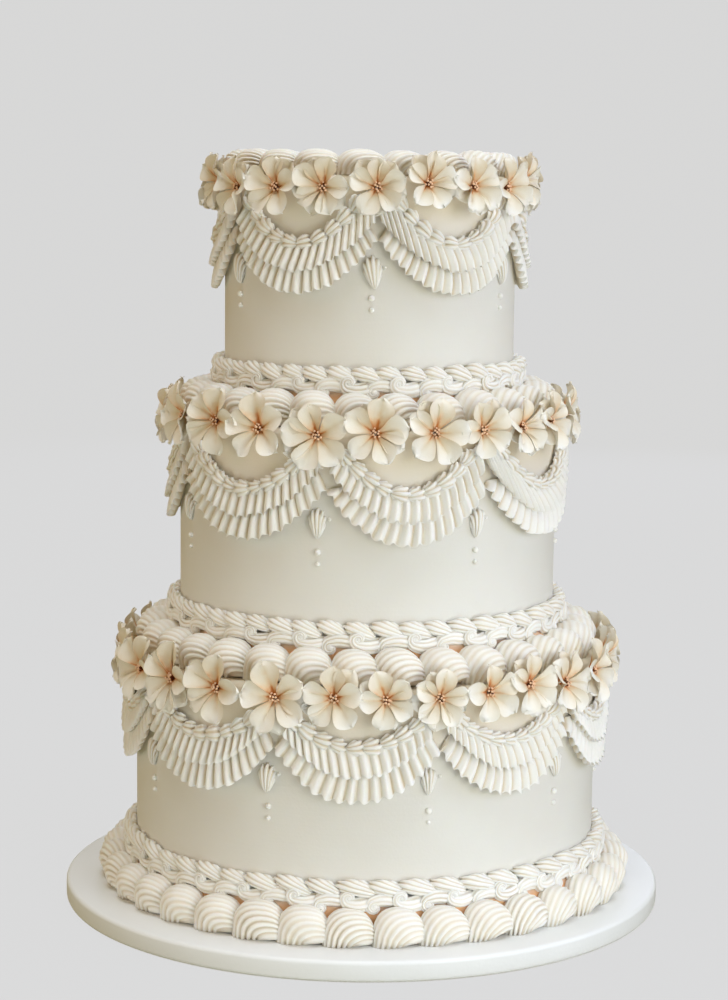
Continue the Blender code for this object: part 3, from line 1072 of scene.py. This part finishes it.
@dataclass(frozen=True)
class SwagStyle:
    """How the swags of one tier are piped.

    Attributes:
        chain: the line of the small shells.
        ruffles: the lower ruffle, then the upper one.
        low_lean: of the lower ruffles' pleats.
        leans: of the upper ruffles' pleats, swag by swag from the left, over and over.
        hang: where a pleat's end hangs lowest: 0 is on its ridge, 0.5 at its right and 1 in the fold.
        hook: how far it hangs there.
        turns: where on each swag, from -1 to 1, the chain's heads turn from left to right.
    """

    chain: HangingLine
    ruffles: tuple[Ruffle, Ruffle]
    low_lean: Lean
    leans: tuple[Lean, ...]
    hang: float
    hook: float
    turns: tuple[float, ...]


def ruffle_pair(
    chain: tuple[float, float],
    upper: tuple[float, float],
    lower: tuple[float, float],
    pitches: tuple[float, float],
) -> tuple[HangingLine, tuple[Ruffle, Ruffle]]:
    """The lines and ruffles of one tier's swags, each line given by its ends and its middle.

    Args:
        chain: how far below the tier's top the small shells are.
        upper: how far below the tier's top the upper ruffle's free edge is.
        lower: the same for the lower ruffle's.
        pitches: from pleat to pleat, on the upper and on the lower ruffle.

    Returns:
        The chain's line, and the lower and the upper ruffle.
    """
    line = HangingLine(0.78, *chain)
    under = HangingLine(0.83, upper[0] - 3.0, upper[1] - 8.5)
    return line, (
        Ruffle(under, HangingLine(0.994, *lower, 2.2), pitches[1], (2.4, 4.2, 5.8, 6.9, 7.2)),
        Ruffle(line, HangingLine(0.968, *upper), pitches[0], (3.2, 5.6, 7.0, 8.0, 8.4)),
    )


SWAG_STYLES = [
    SwagStyle(
        *ruffle_pair((16.5, 31.0), (19.5, 47.2), (33.0, 61.2), (5.6, 6.8)),
        low_lean=Lean(-2.0, 34.0),
        leans=(Lean(-6.0, 8.0), Lean(13.0, 2.0), Lean(10.0, 8.0)),
        hang=0.55,
        hook=1.2,
        turns=(-2.0,),
    ),
    SwagStyle(
        *ruffle_pair((13.0, 34.5), (20.5, 50.2), (32.0, 62.5), (6.1, 7.1)),
        low_lean=Lean(-6.0, 34.0),
        leans=(Lean(-3.0, 20.0), Lean(-3.0, 20.0), Lean(32.0, 8.0)),
        hang=-0.55,
        hook=1.1,
        turns=(2.0, -2.0, -2.0),
    ),
    SwagStyle(
        *ruffle_pair((13.5, 37.5), (25.0, 52.8), (35.0, 65.5), (5.2, 5.9)),
        low_lean=Lean(0.0, 34.0),
        leans=(Lean(-12.0, 16.0), Lean(13.0, -6.0)),
        hang=1.0,
        hook=0.85,
        turns=(0.0,),
    ),
]


@dataclass
class SwagPiping:
    """The swags of one tier: two pleated ruffles each, and a chain of small shells along the top.

    Attributes:
        tier: the tier.
        style: how its swags are piped.
        samples: points in a pleat.
        fold_depth: half the height of a pleat's ridge over its fold.
        chain_pitch: from one small shell to the next.
        crease: the angle in degrees beyond which an edge is sharp.
    """

    tier: Tier
    style: SwagStyle
    samples: int = 8
    fold_depth: float = 1.8
    chain_pitch: float = 9.0
    crease: float = 75.0

    def build(self) -> None:
        """Pipes every swag as a piece of its own."""
        ends = [*self.tier.peaks[1:], self.tier.peaks[0] + 360.0]
        for k, (left, right) in enumerate(zip(self.tier.peaks, ends)):
            rng = np.random.default_rng(700 + 40 * self.tier.level + k)
            half_span = math.radians(right - left) * self.tier.radius / 2.0
            angle = (left + right) / 2.0
            store = MeshStore()
            upper_lean = self.style.leans[k % len(self.style.leans)]
            for ruffle, lean in zip(self.style.ruffles, (self.style.low_lean, upper_lean)):
                flat, groove = self.ruffle(ruffle, lean, half_span, rng)
                store.add_tube(self.tier.wall.wrap(flat, angle), {"groove": groove})
            turning = self.style.turns[k % len(self.style.turns)] * half_span
            self.add_chain(store, half_span, angle, turning, rng)
            name = f"swag_{self.tier.name}_{k + 1:02d}"
            piece = store.build(f"{name}_piping", PIPED.material(), crease=self.crease)
            mount(piece, [name])

    def ruffle(
        self, shape: Ruffle, lean: Lean, half_span: float, rng: np.random.Generator
    ) -> tuple[np.ndarray, np.ndarray]:
        """One pleated ruffle.

        Args:
            shape: its measures.
            lean: of its pleats.
            half_span: half the way along the wall from peak to peak.
            rng: for its unevenness.

        Returns:
            Loops of (along, proud, height), and the painted shade of each point: how far down in a fold
            it is, with the lip's edge kept pale and its underside in full painted shade.
        """
        fine = np.linspace(-1.0, 1.0, 400)
        steps = np.linalg.norm(np.diff(shape.lip.at(fine, half_span), axis=0), axis=1)
        run = np.concatenate([[0.0], np.cumsum(steps)])
        pleats = round(run[-1] / shape.pitch)
        count = np.linspace(0.0, pleats, pleats * self.samples + 1)
        share = np.interp(count / pleats, run / run[-1], fine)
        knots = np.arange(pleats + 1)
        drift = np.interp(count, knots, rng.uniform(-0.6, 0.6, pleats + 1))
        phase = math.tau * count + drift
        across = np.mod(phase / math.pi, 2.0) - 1.0
        skewed = across - 0.12 * (1.0 - across**2)
        fold = 1.0 - 2.0 * np.abs(skewed) ** 1.7
        size = np.interp(count, knots, rng.uniform(0.8, 1.15, pleats + 1))
        uneven = np.interp(count, knots, rng.uniform(-0.7, 0.7, pleats + 1))
        lip = shape.lip.at(share, half_span)
        slant = np.tan(np.radians(lean.middle + lean.fan * share))
        top = lip.copy()
        for _ in range(4):
            height = shape.top.height(top[:, 0], half_span)
            top = np.stack([lip[:, 0] - slant * (height - lip[:, 1]), height], -1)
        down = (lip - top) / np.linalg.norm(lip - top, axis=1, keepdims=True)
        ahead = np.stack([-down[:, 1], down[:, 0]], -1)
        turn = math.pi * (across - self.style.hang)
        reach = self.style.hook * size * (np.cos(turn) - 0.22 * np.cos(2.0 * turn)) + uneven
        rows = np.array([0.0, 0.12, 0.3, 0.5, 0.7, 0.86, 0.96, 1.0])
        inward = np.array([0.985, 0.84, 0.66])
        flare = np.interp(rows, np.linspace(0.0, 1.0, 5), shape.proud)
        depth = self.fold_depth * np.interp(rows, [0.0, 0.25, 0.7, 1.0], [0.5, 1.0, 1.0, 1.15])
        middle = 1.0 - 0.16 * share**2
        front = (flare[None, :] + depth[None, :] * (fold * size - 0.45)[:, None]) * middle[:, None]
        back = front[:, -1:] - np.array([[0.8, 2.4, 4.5]])
        out = np.maximum(np.concatenate([front, back], 1), 0.3)
        rows = np.concatenate([rows, inward])
        sway = 0.5 * np.sin(math.pi * rows[None, :]) * size[:, None]
        place = top[:, None, :] + (lip - top)[:, None, :] * rows[:, None]
        place = place + down[:, None, :] * (reach[:, None] * rows[None, :] ** 5)[..., None]
        place = place + ahead[:, None, :] * sway[..., None]
        flat = np.stack([place[..., 0], out, place[..., 1]], -1)
        # Painted shade: the folds take it by their depth, the lip's edge is kept pale and the underside
        # of the lip is in full shade.
        groove = (np.abs(skewed) ** 2.6)[:, None] * np.linspace(0.9, 1.0, len(rows))[None, :]
        groove[:, -4] = 0.1
        groove[:, -2:] = 1.0
        return flat, groove

    def add_chain(
        self, store: MeshStore, half_span: float, angle: float, turning: float, rng: np.random.Generator
    ) -> None:
        """The small shells along the top of a swag.

        Args:
            store: where they go.
            half_span: half the way along the wall from peak to peak.
            angle: of the swag's middle.
            turning: the place along the wall where the heads turn from left to right.
            rng: for their unevenness.
        """
        tip = Piper(ribs=7, depth=1.6, samples=5, edge=0.8)
        fine = self.style.chain.at(np.linspace(-1.04, 1.04, 200), half_span)
        along = np.concatenate([[0.0], np.cumsum(np.linalg.norm(np.diff(fine, axis=0), axis=1))])
        count = round(along[-1] / self.chain_pitch)
        shape = ShellShape(
            length=self.chain_pitch * 1.1,
            height=6.6,
            width=10.2,
            tail=0.26,
            taper=0.9,
            shoulder=0.24,
            head=1.2,
            start=0.8,
        )
        for k in range(count):
            at = along[-1] * (k + 0.5 + rng.uniform(-0.06, 0.06)) / count
            middle = np.array([np.interp(at, along, line) for line in fine.T])
            ahead = np.array([np.interp(at + 1.0, along, line) for line in fine.T]) - middle
            if at < along[-1] - 1.0:
                ahead = ahead / max(np.linalg.norm(ahead), 1e-6)
            else:
                ahead = np.array([0.6, 0.8])
            turn = rng.uniform(-0.12, 0.12)
            right = ahead[0] * math.cos(turn) - ahead[1] * math.sin(turn)
            up = ahead[0] * math.sin(turn) + ahead[1] * math.cos(turn)
            sized = shape.scaled(1.0 + rng.uniform(-0.1, 0.1))
            loops, groove = tip.shell(sized, rng.uniform(-0.3, 0.3), rows=10)
            head_left = middle[0] < turning
            x, y = loops[..., 0] * (1.0 if head_left else -1.0), loops[..., 1]
            across, height = middle[0] + x * right - y * up, middle[1] + x * up + y * right
            flat = np.stack([across, loops[..., 2] + 1.6, height], -1)
            store.add_tube(self.tier.wall.wrap(flat, angle), {"groove": groove})


@dataclass
class BlossomGarland:
    """The ring of sugar blossoms round a tier's top edge.

    Attributes:
        tier: the tier.
        petals: how many are in one layer of a blossom.
        stand_off: how far a blossom's middle stands off the wall.
        tilt: how far its face looks up, in degrees.
        overlap: how far petals reach over those of the next blossom: 1 is just touching.
        least: the radius of the smallest blossom.
        rows: sections of a petal.
        columns: points across its front.
        layers: how far each layer lies forward, how far it is turned, in petals, and half a
            petal's width there, as a share of its size.
        left_out: the share of the back layer's petals that isn't there.
        stamens: how many are in a blossom.
        throat: the radius that they spread over.
    """

    tier: Tier
    petals: int = 5
    stand_off: float = 10.0
    tilt: float = 7.0
    overlap: float = 1.07
    least: float = 17.0
    rows: int = 11
    columns: int = 7
    layers: tuple[Place, ...] = ((0.0, 0.0, 0.395), (-2.6, 0.5, 0.36))
    left_out: float = 0.6
    stamens: int = 9
    throat: float = 3.2

    def build(self) -> None:
        """Sets every blossom, and its stamens, in place."""
        rng = np.random.default_rng(900 + self.tier.level)
        petals, stamens = MeshStore(), MeshStore()
        angles = self.tier.blossom_angles
        for k, angle in enumerate(angles):
            rises = self.tier.blossom_rises
            rise = rises[k] if k < len(rises) else self.tier.rise + rng.uniform(-1.5, 1.5)
            radius = self.radius_of(k)
            place = self.place(angle, rise, rng)
            self.add_petals(petals, place, radius, rng)
            self.add_stamens(stamens, place, rng)
        name = f"garland_{self.tier.name}"
        mount(petals.build(f"{name}_petals", PETAL.material(), crease=50.0), [name])
        mount(stamens.build(f"{name}_stamens", STAMEN.material()), [])

    def radius_of(self, k: int) -> float:
        """The radius at which a blossom's petals meet those of its neighbours.

        Args:
            k: the blossom's number.

        Returns:
            The radius in millimetres.
        """
        angles = self.tier.blossom_angles
        before = (angles[k] - angles[k - 1]) % 360.0
        after = (angles[(k + 1) % len(angles)] - angles[k]) % 360.0
        gap = math.radians(max(before, after))
        reach = 2.0 * (self.tier.radius + self.stand_off) * math.sin(gap / 2)
        return max(self.least, self.overlap * reach / 2)

    def place(self, angle: float, rise: float, rng: np.random.Generator) -> Matrix:
        """Where a blossom sits and how it is turned, with its face along local +Z.

        Args:
            angle: round the cake, in degrees.
            rise: how far it stands over the tier's top.
            rng: for the unevenness of its turn.

        Returns:
            The blossom's own frame.
        """
        turn = math.radians(angle)
        reach = self.tier.radius + self.stand_off
        at = Vector((CAKE_SHIFT + reach * math.sin(turn), -reach * math.cos(turn), 0.0))
        at.z = self.tier.seat + TIER_HEIGHT + rise
        spin = Matrix.Rotation(math.radians(90.0 + rng.uniform(-24.0, 24.0)), 4, "Z")
        nod = Matrix.Rotation(math.radians(90.0 - self.tilt + rng.uniform(-5.0, 5.0)), 4, "X")
        face = Matrix.Rotation(turn + math.radians(rng.uniform(-6.0, 6.0)), 4, "Z")
        return Matrix.Translation(at) @ face @ nod @ spin

    def add_petals(
        self, store: MeshStore, place: Matrix, radius: float, rng: np.random.Generator
    ) -> None:
        """Adds a round of petals, and a few more behind and between them.

        Args:
            store: where they go.
            place: the blossom's own frame.
            radius: from its middle to a petal's tip.
            rng: for their unevenness.
        """
        for back, half_turn, wide in self.layers:
            for k in range(self.petals):
                turn = math.tau * (k + half_turn + rng.uniform(-0.06, 0.06)) / self.petals
                size = radius * rng.uniform(0.92, 1.05)
                loops, reach, vein = self.petal(size, back, wide * rng.uniform(0.93, 1.07), rng)
                if back and rng.random() < self.left_out:
                    continue
                ahead = place.to_3x3() @ Vector((math.cos(turn), math.sin(turn), 0.0))
                # Painted shade: petals that point up are darkened, taking more of the tan and the
                # peach.
                reach = reach * (1.0 - 0.42 * max(ahead.z, 0.0))
                spin = np.array(Matrix.Rotation(turn, 3, "Z"))
                self.put(store, loops @ spin.T, place, {"reach": reach, "vein": vein})

    def petal(
        self, size: float, back: float, wide: float, rng: np.random.Generator
    ) -> tuple[np.ndarray, np.ndarray, np.ndarray]:
        """One petal along local +X, a thin cupped skin with a wavy rim.

        Args:
            size: from the blossom's middle to the tip.
            back: how far behind the front petals it lies.
            wide: half its width, as a share of its size.
            rng: for its unevenness.

        Returns:
            Its loops, how far out each point is, and how near to a vein.
        """
        share = 0.06 + 0.94 * np.sin(np.linspace(0.0, math.pi / 2, self.rows)) ** 0.9
        half = wide * size * np.maximum(np.sin(math.pi * share**1.72), 0.0) ** 0.66
        half = half * (1.0 + 0.045 * np.sin(9.0 * share + rng.uniform(0, 6)))
        half = np.maximum(half, 0.06 * size * (1 - share))
        front = np.linspace(-1.0, 1.0, self.columns)
        across = np.concatenate([front, front[-2:0:-1]])
        under = np.concatenate([np.zeros(self.columns), np.ones(self.columns - 2)])
        bend = rng.uniform(-2.2, 0.6)
        cup = -6.6 + 7.4 * (1.0 - (1.0 - share) ** 2.0) + bend * share**3
        curl = rng.uniform(2.6, 4.8) * np.sin(math.pi * np.minimum(share * 1.05, 1.0)) ** 0.8
        curl = curl[:, None] * (np.abs(across) ** 2.2)[None, :]
        twist = rng.uniform(0.3, 1.3) * across[None, :] * share[:, None]
        waves = rng.uniform(0.6, 1.25) * np.sin(across * rng.uniform(3.2, 5.2) + rng.uniform(0, 6))
        ripple = waves[None, :] * (share[:, None] ** 3)
        notch = size * rng.uniform(-0.03, 0.15) * (1.0 - np.abs(across)) ** 1.6
        scallop = size * 0.03 * np.sin(across * 7.0 + rng.uniform(0, 6))
        out = size * share[:, None] - (notch + scallop)[None, :] * share[:, None] ** 9
        thick = 0.6 * (1.0 - 0.6 * share)[:, None] * (1.0 - across**2)[None, :] + 0.15
        fold = 0.9 * np.exp(-((across / 0.2) ** 2))[None, :] * np.sin(math.pi * share)[:, None]
        up = cup[:, None] + curl + twist + ripple + back - fold - thick * under[None, :]
        side = half[:, None] * across[None, :]
        loops = np.stack([out, side, up], -1)
        lines = 0.5 + 0.5 * np.cos(across * math.pi * 4.0)
        vein = np.broadcast_to(lines[None, :] * (1.0 - 0.5 * np.abs(across))[None, :], side.shape)
        reach = np.broadcast_to(share[:, None], side.shape)
        return loops, reach, vein

    def add_stamens(self, store: MeshStore, place: Matrix, rng: np.random.Generator) -> None:
        """Adds the threads and tips in the throat.

        Args:
            store: where they go.
            place: the blossom's own frame.
            rng: for their unevenness.
        """
        for k in range(self.stamens):
            turn = k * GOLDEN_TURN + rng.uniform(-0.2, 0.2)
            reach = self.throat * math.sqrt((k + 0.4) / self.stamens)
            top = np.array([reach * math.cos(turn), reach * math.sin(turn), -1.4 - 0.28 * reach**1.4])
            top[2] += rng.uniform(-0.6, 0.6)
            foot = np.array([0.25 * top[0], 0.25 * top[1], -6.2])
            share = np.array([0.0, 0.4, 0.75, 0.82, 0.9, 0.97, 1.0])
            size = np.array([0.3, 0.24, 0.26, 0.62, 0.8, 0.62, 0.16]) * rng.uniform(0.85, 1.15)
            line = foot + (top - foot) * share[:, None]
            ahead = (top - foot) / np.linalg.norm(top - foot)
            side = np.cross(ahead, [0.31, 0.95, 0.0])
            side /= np.linalg.norm(side)
            other = np.cross(ahead, side)
            around = np.arange(5) * math.tau / 5
            loops = line[:, None, :] + size[:, None, None] * (
                np.cos(around)[None, :, None] * side + np.sin(around)[None, :, None] * other
            )
            tip = np.broadcast_to(np.clip((share - 0.7) * 5.0, 0, 1)[:, None], loops.shape[:2])
            self.put(store, loops, place, {"tip": tip})

    @staticmethod
    def put(store: MeshStore, loops: np.ndarray, place: Matrix, values: dict[str, np.ndarray]) -> None:
        """Adds loops that were made in a blossom's own frame."""
        matrix = np.array(place)
        store.add_tube(loops @ matrix[:3, :3].T + matrix[:3, 3], values)


@dataclass
class Studio:
    """The pale floor and backdrop, the soft lights and the camera.

    Attributes:
        camera_distance: in front of the board's middle, in metres, as the next is.
        camera_height: over the board's underside.
        camera_pitch: how far it looks down, in degrees.
        camera_roll: how far it is turned about its own line of sight.
        focal_length: in millimetres, on a 36 mm sensor.
        grey: the backdrop's own brightness.
        glow: how strongly it glows.
        air: the colour of the light from all about.
        air_strength: of that light.
    """

    camera_distance: float = 1.418
    camera_height: float = 0.4273
    camera_pitch: float = 7.63
    camera_roll: float = 0.58
    focal_length: float = 86.508
    grey: float = 0.694
    glow: float = 0.965
    air: Colour = (1.0, 0.87, 0.36)
    air_strength: float = 0.225

    def build(self) -> None:
        """Sets up the whole studio."""
        self.add_camera()
        self.add_backdrop()
        self.add_lights()
        bpy.context.scene.view_settings.view_transform = "Standard"

    def add_camera(self) -> None:
        """The camera, where it stood for the photograph."""
        data = bpy.data.cameras.new("camera")
        data.lens = self.focal_length
        data.sensor_width = 36.0
        data.clip_start, data.clip_end = 0.05, 50.0
        camera = bpy.data.objects.new("camera", data)
        camera.location = (-0.0007, -self.camera_distance, self.camera_height)
        pitch = Matrix.Rotation(math.radians(90.0 - self.camera_pitch), 4, "X")
        roll = Matrix.Rotation(math.radians(self.camera_roll), 4, "Z")
        camera.rotation_euler = (pitch @ roll).to_euler()
        bpy.context.scene.collection.objects.link(camera)
        bpy.context.scene.camera = camera

    def add_backdrop(self) -> None:
        """A round floor that sweeps up all about the cake into an even pale grey wall."""
        turn = np.linspace(0.0, math.pi / 2, 12)
        reach, bend, top = 2.6, 1.4, 4.5
        curve = np.stack([reach + bend * np.sin(turn), bend * (1.0 - np.cos(turn))], -1).tolist()
        profile = np.array([(0.3, 0.0), (1.2, 0.0), *curve, (reach + bend, top)])
        steps = 64
        rings = turned(profile, steps, 0.0)
        points = [(0.0, 0.0, 0.0), *rings.reshape(-1, 3).tolist()]
        faces = [(0, 1 + k, 1 + (k + 1) % steps) for k in range(steps)]
        for row in range(len(profile) - 1):
            here, there = 1 + row * steps, 1 + (row + 1) * steps
            for k in range(steps):
                ahead = (k + 1) % steps
                faces.append((here + k, there + k, there + ahead, here + ahead))
        mesh = bpy.data.meshes.new("backdrop")
        mesh.from_pydata(points, [], faces)
        mesh.shade_smooth()
        mesh.materials.append(self.backdrop_material())
        backdrop = bpy.data.objects.new("backdrop", mesh)
        backdrop.visible_diffuse = False
        backdrop.visible_glossy = False
        backdrop.visible_shadow = False
        bpy.context.scene.collection.objects.link(backdrop)

    def backdrop_material(self) -> bpy.types.Material:
        """A matt grey that glows, so that it stays even.

        Returns:
            The backdrop's material.
        """
        made = bpy.data.materials.new("backdrop")
        made.use_nodes = True
        shader = made.node_tree.nodes["Principled BSDF"]
        shader.inputs["Base Color"].default_value = (0.04, 0.041, 0.044, 1.0)
        shader.inputs["Roughness"].default_value = 1.0
        shader.inputs["Specular IOR Level"].default_value = 0.0
        shader.inputs["Emission Color"].default_value = (self.grey, self.grey, self.grey, 1.0)
        shader.inputs["Emission Strength"].default_value = self.glow
        return made

    def add_light(
        self, name: str, at: Place, aim: Place, size: float, power: float, colour: Colour
    ) -> None:
        """Adds a square soft light.

        Args:
            name: the light's name.
            at: where it stands, in metres.
            aim: what it faces.
            size: its side in metres.
            power: in watts.
            colour: of its light.
        """
        data = bpy.data.lights.new(name, "AREA")
        data.energy, data.size, data.color = power, size, colour
        light = bpy.data.objects.new(name, data)
        light.location = at
        light.rotation_euler = (Vector(aim) - Vector(at)).to_track_quat("-Z", "Y").to_euler()
        bpy.context.scene.collection.objects.link(light)

    def add_lights(self) -> None:
        """Soft lights above, at the right, behind and low in front, and warm light from all about."""
        middle = (0.0, 0.0, 0.20)
        self.add_light("top", (0.02, -0.28, 2.3), middle, 1.5, 32.4, (0.81, 0.885, 1.0))
        self.add_light("right", (2.0, -0.3, 0.6), middle, 1.2, 13.4, (0.60, 0.70, 1.0))
        self.add_light("key", (1.34, -1.60, 1.00), middle, 1.2, 9.3, (0.82, 0.80, 1.0))
        self.add_light("front", (1.25, -1.70, 0.30), middle, 0.9, 8.4, (1.0, 1.0, 0.80))
        self.add_light("left", (-1.9, -0.5, 1.1), middle, 1.3, 2.8, (1.0, 0.15, 0.02))
        self.add_light("low", (0.14, -0.72, 0.02), (0.0, 0.0, 0.06), 0.5, 1.62, (0.74, 0.84, 1.0))
        self.add_light("back", (0.3, 2.2, 0.9), middle, 1.4, 10.0, (0.74, 0.78, 1.0))
        self.add_light("low_left", (-1.2, -0.35, 0.14), (-0.1, 0.0, 0.0), 0.5, 2.6, (0.90, 0.91, 0.86))
        world = bpy.data.worlds.new("studio")
        world.use_nodes = True
        background = world.node_tree.nodes["Background"]
        background.inputs[0].default_value = (*self.air, 1.0)
        background.inputs[1].default_value = self.air_strength
        bpy.context.scene.world = world


TIERS = [
    Tier(
        name="bottom",
        level=0,
        rope={Row.SHELLS: Ring(50, 2.7), Row.SCROLLS: Ring(60, 2.5)},
        crown=Ring(32, 1.7),
        front_peaks=[-59.8, -20.8, 16.8, 53.2],
        swags=10,
        front_blossoms=[-65.0, -50.0, -35.4, -20.4, -7.1, 4.5, 16.4, 28.5, 39.7, 52.2, 66.5],
        blossom_rises=[-3.5, -2.9, -3.2, -4.4, -3.1, -3.8, -3.6, -2.2, -0.6, -4.0, -3.0],
        blossoms=29,
        rise=-3.0,
    ),
    Tier(
        name="middle",
        level=1,
        rope={Row.SHELLS: Ring(48, 3.0), Row.SCROLLS: Ring(46, 6.0)},
        crown=Ring(26, 1.6),
        front_peaks=[-63.5, -11.5, 34.5, 86.0],
        swags=7,
        front_blossoms=[-65.0, -47.0, -31.1, -13.8, 1.7, 18.3, 32.8, 47.6, 62.4, 79.0],
        blossom_rises=[2.0, 2.4, 0.6, -2.2, 0.1, -0.2, 0.0, 0.8, 2.2, 3.0],
        blossoms=24,
        rise=0.5,
    ),
    Tier(
        name="top",
        level=2,
        rope={Row.SHELLS: Ring(40, 4.4), Row.SCROLLS: Ring(40, 2.1)},
        crown=Ring(19, 3.7),
        front_peaks=[-57.3, 2.7, 62.7],
        swags=6,
        front_blossoms=[-73.0, -56.0, -35.4, -16.9, 2.3, 20.6, 38.8, 57.6, 73.0],
        blossom_rises=[-4.5, -7.2, -6.4, -6.6, -6.4, -3.8, -5.0, -5.8, -2.6],
        blossoms=20,
        rise=-5.5,
    ),
]


def ledge_border(tier: Tier, above: Tier | None) -> ShellBorder:
    """The large shells on a tier's ledge, or round the edge of the top tier.

    Args:
        tier: the tier.
        above: the tier that stands on it, if there is one.

    Returns:
        The ring of shells, still to be piped.
    """
    inner, outer, height = 62.5, 86.0, 14.2
    if above is not None:
        inner, outer, height = above.radius, tier.radius + 0.8, 20.6
    return ShellBorder(
        name=f"shells_{tier.name}",
        ring=tier.crown,
        inner=inner,
        outer=outer,
        height=height,
        seat=tier.seat + TIER_HEIGHT,
        seed=10 + tier.level,
    )


def main() -> None:
    """Builds the cake from the board up, then the studio."""
    logging.basicConfig(level=logging.INFO, format="%(message)s")
    CakeBoard().build()
    base = ShellBorder(
        name="shells_base",
        ring=Ring(36, 1.6),
        inner=137.0,
        outer=159.6,
        height=20.6,
        seat=BOARD_THICKNESS,
        seed=1,
    )
    base.build()
    for tier, above in zip(TIERS, [*TIERS[1:], None]):
        piping = IcedTier(tier)
        piping.build_wall()
        piping.build_drops()
        RopeBorder(tier).build()
        ledge_border(tier, above).build()
        SwagPiping(tier, SWAG_STYLES[tier.level]).build()
        BlossomGarland(tier).build()
    Studio().build()


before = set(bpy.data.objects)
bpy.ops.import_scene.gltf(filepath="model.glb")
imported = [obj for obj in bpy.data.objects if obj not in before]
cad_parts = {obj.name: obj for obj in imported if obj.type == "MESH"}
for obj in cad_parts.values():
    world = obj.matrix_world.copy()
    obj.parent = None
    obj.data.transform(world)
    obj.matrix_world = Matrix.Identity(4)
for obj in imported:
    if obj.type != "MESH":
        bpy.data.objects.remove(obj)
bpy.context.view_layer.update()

if __name__ == "__main__":
    main()
